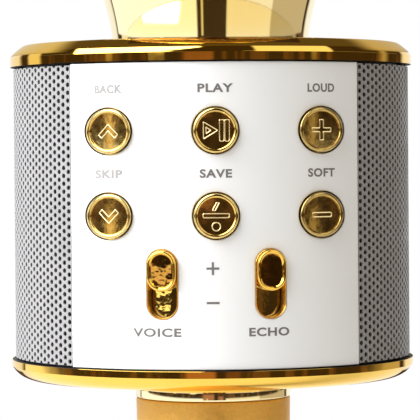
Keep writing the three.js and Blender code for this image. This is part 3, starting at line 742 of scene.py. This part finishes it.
def dish_point(at, dx, dz, lift=0.0):
    rho = math.hypot(dx, dz)
    radius = BUTTON_TOP + DISH_FLOOR + DISH_RISE * (rho / DISH_RADIUS) ** 2 + lift
    return button_point(at.x + dx, at.z + dz, radius)


def ridge(shape, at, corners, rounding):
    """A raised closed line on a button's face through (dx, dz) corners."""
    path = rounded([(dx, dz, rounding) for dx, dz in corners], 5)
    dense = []
    for (x0, z0), (x1, z1) in zip(path, path[1:] + path[:1]):
        pieces = max(1, int(math.hypot(x1 - x0, z1 - z0) / RIDGE_STEP))
        dense.extend([(x0 + (x1 - x0) * k / pieces, z0 + (z1 - z0) * k / pieces) for k in range(pieces)])
    points = [dish_point(at, dx, dz, RIDGE_LIFT) for dx, dz in dense]
    normals = [(p[0], p[1], 0) for p in points]
    shape.put(*tube(points, RIDGE_WIDTH / 2, normals, RIDGE_SIDES, closed=True))


def chevron(way):
    """A chevron that points up, or down where way is -1."""
    points = [(-1.8, -0.65), (0, 1.3), (1.8, -0.65), (1.25, -1.25), (0, 0.1), (-1.25, -1.25)]
    return [(x, way * z) for x, z in points]


def cross(reach_x, reach_z, arm):
    return [(arm, reach_z), (-arm, reach_z), (-arm, arm), (-reach_x, arm), (-reach_x, -arm), (-arm, -arm),
            (-arm, -reach_z), (arm, -reach_z), (arm, -arm), (reach_x, -arm), (reach_x, arm), (arm, arm)]


def ring_path(radius, x, z):
    angles = np.linspace(0, 2 * math.pi, 16, endpoint=False)
    return [(x + radius * math.cos(a), z + radius * math.sin(a)) for a in angles]


# Each icon is a list of outlines, with how much of each corner is rounded.
ICONS = {
    "previous": [(chevron(1), 0.14)],
    "next": [(chevron(-1), 0.14)],
    "play": [([(-2.25, 1.6), (-2.25, -1.6), (0.4, 0)], 0.2),
             ([(-1.75, 0.6), (-1.75, -0.6), (-0.85, 0)], 0.12),
             (bar(0.42, 2.0, 1.15), 0.3), (bar(0.42, 2.0, 2.15), 0.3)],
    "volume_up": [(cross(1.8, 1.9, 0.36), 0.12)],
    "volume_down": [(bar(1.8, 0.4), 0.25)],
    "record": [(bar(2.45, 0.38, 0, 0.1), 0.3), (ring_path(0.78, 0, -1.95), 0.05),
               ([(-0.7, 1.05), (-0.15, 1.05), (0.6, 2.5), (0.05, 2.5)], 0.12)],
}


def build_button(name, body):
    """A cap with a dished face, the flange behind the panel and a stem, with its icon raised on it."""
    node = f"button_{name}"
    at = centre(node)
    stem_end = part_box(node)[1].y / MM
    flange_radius = size(node).x / 2
    reach = abs(at.x) + flange_radius
    flange_back = FLANGE_WALL - math.sqrt(FLANGE_FRONT ** 2 - reach ** 2)

    def outline(rho, radius):
        if rho == 0:
            return [button_point(at.x, at.z, radius)]
        return [button_point(x, z, radius) for x, z in circle(at.x, at.z, rho, ROUND)]

    def level(rho, y):
        return [(x, y, z) for x, z in circle(at.x, at.z, rho, ROUND)] if rho else [(at.x, y, at.z)]

    shape = Shape()
    shape.put(*stack([
        *[outline(rho, BUTTON_TOP + h) for rho, h in DISH_PROFILE + BEAD_PROFILE],
        outline(CAP_RADIUS, FLANGE_FRONT), outline(flange_radius, FLANGE_FRONT),
        level(flange_radius, flange_back), level(STEM_RADIUS, flange_back),
        level(STEM_RADIUS, stem_end), level(0, stem_end),
    ]))
    plain = len(shape.faces)
    for corners, rounding in ICONS[name]:
        ridge(shape, at, corners, rounding)
    shape.piece(f"{node}_moulded", body, "gold_button", replaces=(node,), sharp=38,
                # painted shade: the volume buttons, in the column furthest from the key light, wear a
                # darker copy of the gold
                material="right_column_shade_gold" if "volume" in name else None,
                # painted highlight: the icons' raised lines wear a paler, rougher gold
                extras=[("ridge_highlight_gold", lambda face, _: face >= plain)])


def wrapped(x, z, radius):
    """A point carried round the axis, straight in or out from x, z on the panel's face."""
    angle = math.asin(x / PANEL_RADIUS)
    return (radius * math.sin(angle), -radius * math.cos(angle), z)


def wrapped_pill(at, rho, radius):
    """A knob's outline at rho from its middle line, which shortens towards the middle of the knob."""
    if rho == 0:
        return [wrapped(at.x, at.z, radius)]
    straight = KNOB_STRAIGHT * min(1.0, rho / KNOB_CORE)
    return [wrapped(x, z, radius) for x, z in pill(at.x, at.z, rho, straight, ROUND)]


KNOB_TOP = PANEL_RADIUS + 1.2
KNOB_STRAIGHT = 1.2
KNOB_CORE = 1.3
KNOB_DISH = [(0, -0.42), (0.5, -0.418), (1.0, -0.41), (1.5, -0.395), (1.85, -0.38)]
KNOB_RIM = [(1.93, -0.27), (2.02, -0.12), (2.14, -0.03), (2.28, 0), (2.42, -0.03), (2.53, -0.13),
            (2.6, -0.3), (2.6, -3.2), (0, -3.2)]
KNOB_STEM = (0.6, 2)  # half width and half height
KNOB_STEM_ENDS = (-36.0, -27.9)
PLATE_BACK = 36.25
PLATE_GAP = 0.15
BEZEL_PROFILE = [(0, -1.7), (0, -0.1), (0.05, 0.08), (0.13, 0.15), (0.21, 0.08), (0.27, -0.1), (0.27, -1.7)]


def build_slider(name, body):
    """A slider's lining and its knob, with the plate that keeps the slot closed behind the knob."""
    node = f"slider_bezel_{name}"
    at, span = centre(node), size(node)
    half, straight = span.x / 2, (span.z - span.x) / 2
    verts, faces = stack([
        [wrapped(x, z, PANEL_RADIUS + h) for x, z in pill(at.x, at.z, half - inset, straight, ROUND)]
        for inset, h in BEZEL_PROFILE], closed=True)
    # painted shade: the lining wears a darker gold than the bezel it replaces
    add_piece(f"{node}_lined", verts, faces, "housing", "gold_mirror", replaces=(node,), sharp=50,
              material="lining_gold")

    node = f"slider_knob_{name}"
    at, span = centre(node), size(node)
    shape = Shape()
    shape.put(*stack([wrapped_pill(at, rho, KNOB_TOP + h) for rho, h in KNOB_DISH + KNOB_RIM]))
    dish_faces = (len(KNOB_DISH) - 1) * ROUND
    knob_faces = len(shape.faces)
    shape.put(*plate(at, span.x / 2 - PLATE_GAP, span.z / 2 - PLATE_GAP))
    front, back = KNOB_STEM_ENDS
    stem = [[(x, y, z) for x, z in bar(*KNOB_STEM, at.x, at.z)] for y in (front, back)]
    shape.put(*stack([[(at.x, front, at.z)], *stem, [(at.x, back, at.z)]]))
    # painted shade: the knob's dish wears shaded_gold, a darker copy of the gold
    shape.piece(f"{node}_moulded", body, "gold_mirror", replaces=(node,), sharp=38,
                extras=[("shaded_gold", lambda face, _: face < dish_faces),
                        ("plate_gold", lambda face, _: face >= knob_faces)])


def plate(at, half_width, half_height, columns=14):
    """A thin closed plate bent round the axis."""
    across = np.linspace(at.x - half_width, at.x + half_width, columns)
    ends = (at.z + half_height, at.z - half_height)
    front, back = ([button_point(x, z, radius) for z in ends for x in across]
                   for radius in (FLANGE_FRONT, PLATE_BACK))
    faces = [(k, k + 1, columns + k + 1, columns + k) for k in range(columns - 1)]
    return thin_solid(front, back, faces)


# ---------------- printing
CAPTIONS = {
    "previous": "BACK", "play": "PLAY", "volume_up": "LOUD",
    "next": "SKIP", "record": "SAVE", "volume_down": "SOFT",
}
# Words, their width, and how far their middle is from the slider's.
SLIDER_CAPTIONS = {"mic_volume": ("VOICE", 9.4, -1.1), "echo": ("ECHO", 7.8, -0.3)}
CAP_HEIGHT = 1.62
LETTER_SPACING = 1.1
CAPTION_RISE = 7.9
CAPTION_WIDTH = 6.0
PLAY_WIDTH = 6.6
SLIDER_CAPTION_DROP = 8.95
LEFT_LIT_CAPTIONS = ("previous", "next")  # the left column's captions: their ink is paler, as painted light for the strong light from the left, and their lines a little bolder
STROKE, LEFT_LIT_STROKE = 0.03, 0.045
SIGN_REACH = 1.2
SIGN_WIDTH = 0.42
SIGN_X = -0.7
PLUS_RISE, MINUS_DROP = 2.95, 3.45
INK_FRONT, INK_BACK = 0.035, 0.005  # heights above the panel


def print_on_panel(name, flat, faces, x, z, ink="printed_ink"):
    """Lays a flat print on the panel: flat holds (across, up) points round the print's middle."""
    turn = math.asin(x / PANEL_RADIUS)
    sheets = []
    for radius in (PANEL_RADIUS + INK_FRONT, PANEL_RADIUS + INK_BACK):
        sheet = []
        for across, up in flat:
            angle = turn + across / PANEL_RADIUS
            sheet.append((radius * math.sin(angle), -radius * math.cos(angle), z + up))
        sheets.append(sheet)
    add_piece(name, *thin_solid(*sheets, faces), "housing", "black_plastic", material=ink)


def print_words(name, words, x, z, width, ink="printed_ink", stroke=STROKE):
    """Plain capitals, centred. stroke thickens their lines."""
    text = bpy.data.curves.new(name, "FONT")
    text.body = words
    text.space_character = LETTER_SPACING
    text.offset = stroke
    text.resolution_u = 4
    holder = bpy.data.objects.new(name, text)
    bpy.context.scene.collection.objects.link(holder)
    bpy.context.view_layer.update()
    mesh = bpy.data.meshes.new_from_object(holder.evaluated_get(bpy.context.evaluated_depsgraph_get()))
    bpy.data.objects.remove(holder)
    points = np.array([v.co[:2] for v in mesh.vertices])
    low, high = points.min(0), points.max(0)
    scale = np.array([width / (high[0] - low[0]), CAP_HEIGHT / (high[1] - low[1])])
    flat = (points - (low + high) / 2) * scale
    faces = [tuple(p.vertices) for p in mesh.polygons]
    print_on_panel(f"print_{name}", flat.tolist(), faces, x, z, ink)


def print_sign(name, upright, x, z):
    """A minus, or a plus where upright."""
    reach, half = SIGN_REACH, SIGN_WIDTH / 2
    flat = [(-reach, -half), (-half, -half), (half, -half), (reach, -half),
            (reach, half), (half, half), (-half, half), (-reach, half)]
    faces = [(0, 1, 6, 7), (1, 2, 5, 6), (2, 3, 4, 5)]
    if upright:
        flat += [(-half, -reach), (half, -reach), (half, reach), (-half, reach)]
        faces += [(8, 9, 2, 1), (6, 5, 10, 11)]
    print_on_panel(f"print_{name}", flat, faces, x, z)


def build_printing():
    for name, words in CAPTIONS.items():
        at = centre(f"button_{name}")
        width = PLAY_WIDTH if name == "play" else CAPTION_WIDTH
        # painted light: the left column's captions get the paler ink
        ink, stroke = ("left_lit_ink", LEFT_LIT_STROKE) if name in LEFT_LIT_CAPTIONS else ("printed_ink", STROKE)
        print_words(name, words, at.x, at.z + CAPTION_RISE, width, ink, stroke)
    for name, (words, width, shift) in SLIDER_CAPTIONS.items():
        at = centre(f"slider_bezel_{name}")
        print_words(name, words, at.x + shift, at.z - SLIDER_CAPTION_DROP, width)
    middle = centre("slider_bezel_echo").z
    print_sign("more", True, SIGN_X, middle + PLUS_RISE)
    print_sign("less", False, SIGN_X, middle - MINUS_DROP)


# ---------------- perforated side grilles
HOLE_PITCH = 1.5
HOLE_COLUMN = 1.3
HOLE = 0.47
HOLE_SIDES = 12
SHEET = 0.35
GRILLE_SEAM = math.radians(0.5)
CELL_CORNERS = [(1, 1, 1), (5, -1, 1), (7, -1, -1), (11, 1, -1)]  # the side nearest each corner of a cell


def grille_cell():
    """The rim of a rectangular cell and the hole in it, with matching points."""
    a = np.linspace(0, 2 * math.pi, HOLE_SIDES, endpoint=False)
    half_width, half_height = HOLE_COLUMN / 2, HOLE_PITCH / 2
    rim = []
    for c, s in zip(np.cos(a), np.sin(a)):
        stretch = min(half_width / max(abs(c), 1e-9), half_height / max(abs(s), 1e-9))
        rim.append((c * stretch, s * stretch))
    for k, x, z in CELL_CORNERS:
        rim[k] = (x * half_width, z * half_height)
    return np.array(rim), np.column_stack([np.cos(a), np.sin(a)]) * HOLE


def build_side_grille(side, way):
    """A perforated sheet: staggered columns of cells, each a rectangle round one hole."""
    node = f"side_grille_{side}"
    low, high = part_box(node)
    foot, top = low.z / MM, high.z / MM
    radius = high.x / MM if way > 0 else -low.x / MM
    half_angle = (math.pi - FRONT_HALF_ANGLE - BACK_HALF_ANGLE) / 2 - GRILLE_SEAM
    start = (FRONT_HALF_ANGLE - BACK_HALF_ANGLE) / 2 - half_angle
    columns = int(2 * half_angle * radius / HOLE_COLUMN)
    step = 2 * half_angle / columns
    rim, hole = grille_cell()
    cells, quads, wall_edges = [], [], []
    for column in range(columns):
        begin = foot - (HOLE_PITCH / 2 if column % 2 else 0)
        for row in range(math.ceil((top - begin) / HOLE_PITCH)):
            middle = np.array([(column + 0.5) * HOLE_COLUMN, begin + (row + 0.5) * HOLE_PITCH])
            base = len(cells)
            cells.extend((rim + middle).tolist())
            cells.extend((hole + middle).tolist())
            for k in range(HOLE_SIDES):
                n = (k + 1) % HOLE_SIDES
                quads.append((base + k, base + n, base + HOLE_SIDES + n, base + HOLE_SIDES + k))
                wall_edges.append((base + HOLE_SIDES + n, base + HOLE_SIDES + k))
    flat = np.array(cells)
    flat[:, 1] = np.clip(flat[:, 1], foot, top)  # the edges cut through the last holes
    angle = start + flat[:, 0] / HOLE_COLUMN * step
    count = len(flat)
    outer, inner = (np.column_stack([r * np.cos(angle) * way, r * np.sin(angle), flat[:, 1]])
                    for r in (radius, radius - SHEET))
    back = [tuple(count + i for i in reversed(f)) for f in quads]
    walls = [(a, b, count + b, count + a) for a, b in wall_edges]
    faces = [*quads, *back, *walls]
    if way < 0:
        faces = [tuple(reversed(f)) for f in faces]
    add_piece(f"{node}_perforated", np.vstack([outer, inner]), faces, "housing", "silver_grille",
              replaces=(node,), tidy=False)


# ---------------- CAD nodes that show as they are
CARRIED = {
    "speaker_cloth": ["grille_cloth_right", "grille_cloth_left"],
    "speaker_cone": ["driver_cone_right", "driver_cone_left"],
    "rubber": ["capsule_cradle"],
    "circuit_board": ["control_board", "rear_board"],
    "steel": ["slide_pot_mic_volume", "slide_pot_echo", "board_screw_1", "board_screw_2", "board_screw_3",
              "board_screw_4", "driver_basket_right", "driver_basket_left", "charge_socket", "card_socket",
              "power_switch"],
    "capsule_metal": ["microphone_capsule"],
    "magnet": ["driver_magnet_right", "driver_magnet_left"],
    "battery_wrap": ["battery_cell"],
    "clear_lens": ["status_lens"],
    "black_plastic": ["inner_frame", "audio_jack", "power_knob", "capsule_post"],
    "red_wire": ["battery_lead", "speaker_lead_right"],
    "black_wire": ["microphone_lead", "speaker_lead_left"],
    "ribbon": ["board_ribbon"],
}


def dress_cad_nodes():
    """Gives each carried-over CAD node its finish."""
    for slot, names in CARRIED.items():
        for name in names:
            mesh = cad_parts[name].data
            mesh.materials.clear()
            mesh.materials.append(MATERIALS[slot])


# ---------------- studio
FLOOR_RADIUS = 0.34  # these three are in metres
FLOOR_FADE = (0.2, 0.33)
FLOOR_DROP = 0.0002
FLOOR_COLOUR = (0.45, 0.447, 0.443, 1)
WHITE = (1, 1, 1, 1)


def build_floor():
    """A pale round floor that brightens into the backdrop towards its edge."""
    rings = [[(0, 0, 0)]]
    angles = np.linspace(0, 2 * math.pi, 96, endpoint=False)
    for r in np.linspace(0.05, FLOOR_RADIUS, 12) / MM:
        rings.append([(r * math.cos(t), r * math.sin(t), 0) for t in angles])
    verts, faces = stack(rings)
    mesh = bpy.data.meshes.new("floor")
    mesh.from_pydata((np.array(verts) * MM).tolist(), [], faces)
    floor = bpy.data.objects.new("floor", mesh)
    floor.location.z = -FLOOR_DROP
    bpy.context.scene.collection.objects.link(floor)
    material = bpy.data.materials.new("floor")
    material.use_nodes = True
    tree = material.node_tree
    tree.nodes.clear()
    at = add(tree, "ShaderNodeTexCoord").outputs["Object"]
    distance = add(tree, "ShaderNodeVectorMath", {0: at}, operation="LENGTH").outputs["Value"]
    diffuse = add(tree, "ShaderNodeBsdfDiffuse", {"Color": FLOOR_COLOUR})
    glow = add(tree, "ShaderNodeEmission", {"Color": WHITE, "Strength": 1.0})
    fade = rise(tree, distance, *FLOOR_FADE)
    mixed = add(tree, "ShaderNodeMixShader", {0: fade, 1: diffuse.outputs[0], 2: glow.outputs[0]})
    add(tree, "ShaderNodeOutputMaterial", {"Surface": mixed.outputs[0]})
    mesh.materials.append(material)


# A window is a bright or dark part of the studio. It is placed by the mirror that shows it to someone in
# front: swing is how far the mirror turns towards +X, and lean how far it tips back, in degrees. Each is
# swing from and to, lean from and to, edge softness, then its light. A later window covers an earlier one.
ROOM = (0.05, 0.031, 0.015)
BLOTCH = (0.15, 0.078, 0.035)
CEILING = (0.115, 0.085, 0.04)
WINDOWS = [
    (-100, 100, 46, 91, 2, CEILING),
    (-100, -50, 30, 91, 6, (0.75, 0.68, 0.5)),
    (52, 100, 30, 91, 6, (0.6, 0.52, 0.36)),
    (-8, 0, -7, -1.5, 0.8, (0.45, 0.2, 0.1)),
    (3, 7, -7, -2.5, 0.8, (0.4, 0.17, 0.1)),
    (-5.6, -4.5, -17, -3.8, 0.5, (0.85, 0.75, 0.45)),
    (-5.6, -4.5, 3, 14, 0.5, (0.85, 0.75, 0.45)),
    (5.2, 6, -17, -3.8, 0.5, (0.5, 0.42, 0.25)),
    (-18, -13.5, -1.3, -0.5, 0.25, (2.2, 1.9, 1.2)),
    (-17.5, -12.5, 0.5, 1.7, 0.2, (2.2, 1.9, 1.2)),
    (-31, -29, -1.2, 2.5, 0.5, (1.2, 0.9, 0.46)),
    (28.7, 30.3, -1.2, 2.5, 0.5, (0.72, 0.56, 0.28)),
    (-64, -57, -5, 30, 1, (0.95, 0.88, 0.7)),
    (56, 59, -5, 30, 2, (0.5, 0.42, 0.28)),
    (-68, -8, -17, -3.8, 0.6, (1.2, 1.2, 1.2)),
    (8.7, 66, -17, -3.8, 0.6, (0.58, 0.48, 0.33)),
    (8.7, 36, -17, -3.8, 0.6, (1.0, 0.92, 0.75)),
    (-68, -8, 1.9, 17, 0.7, (1.25, 1.25, 1.25)),
    (8.7, 66, 1.9, 17, 0.7, (0.55, 0.48, 0.36)),
    (8.7, 36, 1.9, 17, 0.7, (1.0, 0.93, 0.78)),
    (12, 36, 15, 46, 0.7, (1.2, 1.15, 1.05)),
    (70, 100, -40, 30, 2, (1.0, 1.0, 1.0)),
    (-100, -70, -40, 30, 2, (1.0, 1.0, 1.0)),
]
WEDGE = (-42, -3, 8, 46, 0.8, (7.0, 6.9, 6.8))  # the big soft box; its lower edge climbs to the middle
WEDGE_BEND = -22.0  # the swing at which that edge starts to climb
WEDGE_CLIMB = 2.0
WEDGE_SOFTNESS = 5.0
BLOTCH_SIZE = 0.13  # warm blotches in the lower half of the room
BLOTCH_EDGE = (0.5, 0.62)


def window_mask(tree, swing, lean, swing_from, swing_to, lean_from, lean_to, soft):
    """1 inside a window, 0 outside it."""
    mask = 1.0
    for value, low, high in ((swing, swing_from, swing_to), (lean, lean_from, lean_to)):
        mask = maths(tree, "MULTIPLY", mask, rise(tree, value, low - soft, low + soft))
        falling = maths(tree, "MULTIPLY", value, -1.0)
        mask = maths(tree, "MULTIPLY", mask, rise(tree, falling, -high - soft, -high + soft))
    return mask


def build_world():
    """White behind the object for the camera; round it a dark room with soft boxes."""
    world = bpy.data.worlds.new("studio")
    bpy.context.scene.world = world
    world.use_nodes = True
    tree = world.node_tree
    tree.nodes.clear()
    at = add(tree, "ShaderNodeTexCoord").outputs["Generated"]
    half = add(tree, "ShaderNodeVectorMath", {0: at, 1: (0, -1, 0)}, operation="ADD").outputs[0]
    part = add(tree, "ShaderNodeSeparateXYZ", {0: half}).outputs
    forward = maths(tree, "MULTIPLY", part["Y"], -1.0)
    squares = [maths(tree, "MULTIPLY", value, value) for value in (part["X"], forward)]
    level = maths(tree, "SQRT", maths(tree, "ADD", *squares))
    swing, lean = (maths(tree, "MULTIPLY", maths(tree, "ARCTAN2", *pair), math.degrees(1))
                   for pair in ((part["X"], forward), (part["Z"], level)))
    blotches = rise(tree, noise(tree, at, BLOTCH_SIZE, 4.0, 0.6), *BLOTCH_EDGE)
    below = rise(tree, maths(tree, "MULTIPLY", lean, -1.0), -1.0, 1.0)
    blotches = maths(tree, "MULTIPLY", blotches, below)
    colour = blend_colours(tree, blotches, (*ROOM, 1), (*BLOTCH, 1))
    for *span, light in WINDOWS:
        colour = blend_colours(tree, window_mask(tree, swing, lean, *span), colour, (*light, 1))
    *span, light = WEDGE
    past = maths(tree, "MAXIMUM", maths(tree, "SUBTRACT", swing, WEDGE_BEND), 0.0)
    climb = maths(tree, "MULTIPLY", past, WEDGE_CLIMB)
    above = rise(tree, maths(tree, "SUBTRACT", lean, climb), 0.0, WEDGE_SOFTNESS)
    wedge = maths(tree, "MULTIPLY", window_mask(tree, swing, lean, *span), above)
    colour = blend_colours(tree, wedge, colour, (*light, 1))
    seen = add(tree, "ShaderNodeLightPath").outputs["Is Camera Ray"]
    colour = blend_colours(tree, seen, colour, WHITE)
    background = add(tree, "ShaderNodeBackground", {"Color": colour, "Strength": 1.0})
    add(tree, "ShaderNodeOutputWorld", {"Surface": background.outputs[0]})


# Soft lights that mirrors don't show: azimuth, elevation, distance, size in metres, and watts.
LIT_HEIGHT = 0.135
LIGHTS = [
    ("key", -88, 30, 0.9, 0.5, 13),
    ("rear", 170, 45, 1.2, 0.7, 4),
]


def build_lights():
    for name, azimuth, elevation, distance, width, power in LIGHTS:
        light = bpy.data.lights.new(name, "AREA")
        light.shape = "SQUARE"
        light.size = width
        light.energy = power
        lamp = bpy.data.objects.new(name, light)
        a, e = math.radians(azimuth), math.radians(elevation)
        way = Vector((math.sin(a) * math.cos(e), -math.cos(a) * math.cos(e), math.sin(e)))
        lamp.location = Vector((0, 0, LIT_HEIGHT)) + way * distance
        lamp.rotation_euler = way.to_track_quat("Z", "Y").to_euler()
        lamp.visible_camera = False
        lamp.visible_glossy = False
        bpy.context.scene.collection.objects.link(lamp)


build_handle()
build_rings()
build_neck()
build_collar()
build_dome()
build_lower_mesh()
build_foam()
build_panels()
for button, body in BUTTONS.items():
    build_button(button, body)
for slider, body in SLIDERS.items():
    build_slider(slider, body)
build_printing()
build_side_grille("right", 1)
build_side_grille("left", -1)
dress_cad_nodes()
build_floor()
build_world()
build_lights()
